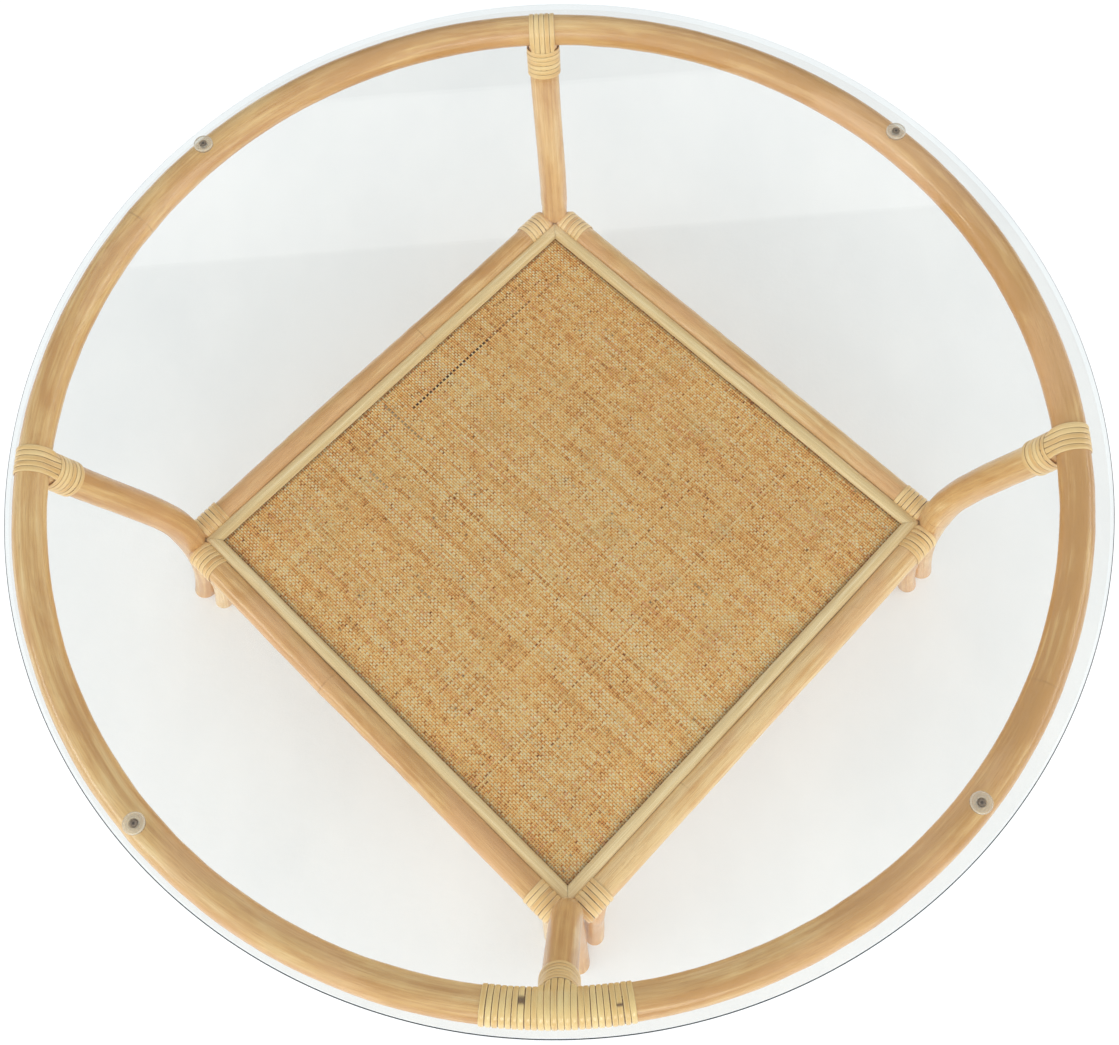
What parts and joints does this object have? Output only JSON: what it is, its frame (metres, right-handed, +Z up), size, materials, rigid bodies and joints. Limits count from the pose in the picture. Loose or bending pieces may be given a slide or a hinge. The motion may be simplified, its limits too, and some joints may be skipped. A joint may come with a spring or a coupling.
{
  "type": "round wicker coffee table",
  "caption": "Round garden coffee table: loose glass disc on a bent rattan hoop, bowed legs bound with split peel, and a square woven shelf on rails and arched braces.",
  "frame": {"origin": "on the floor, below the middle of the table's outline", "axes": "+Z up; the legs stand on the X and Y axes and the shelf's sides run at 45 degrees; -Y is the leg whose hoop binding covers the hoop's splice"},
  "size_m": [0.9203, 0.9208, 0.407],
  "materials": {
    "glass": "clear, polished edge",
    "pole": "varnished rattan pole",
    "split_peel": "varnished split rattan peel",
    "cane_moulding": "satin half-round cane",
    "woven_cane": "plain-woven fine cane, lacquered",
    "plywood": "bare plywood",
    "clear_plastic": "clear soft plastic",
    "nail_steel": "dulled steel"
  },
  "bodies": {
    "frame": {"hoop": "pole", "leg_front": "pole", "leg_right": "pole", "leg_back": "pole", "leg_left": "pole", "rail_front_right": "pole", "rail_back_right": "pole", "rail_back_left": "pole", "rail_front_left": "pole", "brace_front_right": "pole", "brace_back_right": "pole", "brace_back_left": "pole", "brace_front_left": "pole", "slat_front_right": "cane_moulding", "slat_back_right": "cane_moulding", "slat_back_left": "cane_moulding", "slat_front_left": "cane_moulding", "woven_panel": "woven_cane", "shelf_board": "plywood", "bumper_front_right": "clear_plastic", "bumper_back_right": "clear_plastic", "bumper_back_left": "clear_plastic", "bumper_front_left": "clear_plastic", "bumper_nail_front_right": "nail_steel", "bumper_nail_back_right": "nail_steel", "bumper_nail_back_left": "nail_steel", "bumper_nail_front_left": "nail_steel", "rail_binding_front_right_a": "split_peel", "rail_binding_front_right_b": "split_peel", "rail_binding_back_right_a": "split_peel", "rail_binding_back_right_b": "split_peel", "rail_binding_back_left_a": "split_peel", "rail_binding_back_left_b": "split_peel", "rail_binding_front_left_a": "split_peel", "rail_binding_front_left_b": "split_peel", "leg_collar_front": "split_peel", "leg_collar_right": "split_peel", "leg_collar_back": "split_peel", "leg_collar_left": "split_peel", "hoop_strap_right": "split_peel", "hoop_strap_back": "split_peel", "hoop_strap_left": "split_peel", "hoop_splice_binding": "split_peel"},
    "top": {"glass_top": "glass"}
  },
  "joints": [
    {"name": "glass_lift", "type": "slide", "parent": "frame", "child": "top", "axis": [0, 0, 1], "range_m": [0, 0.2]}
  ]
}
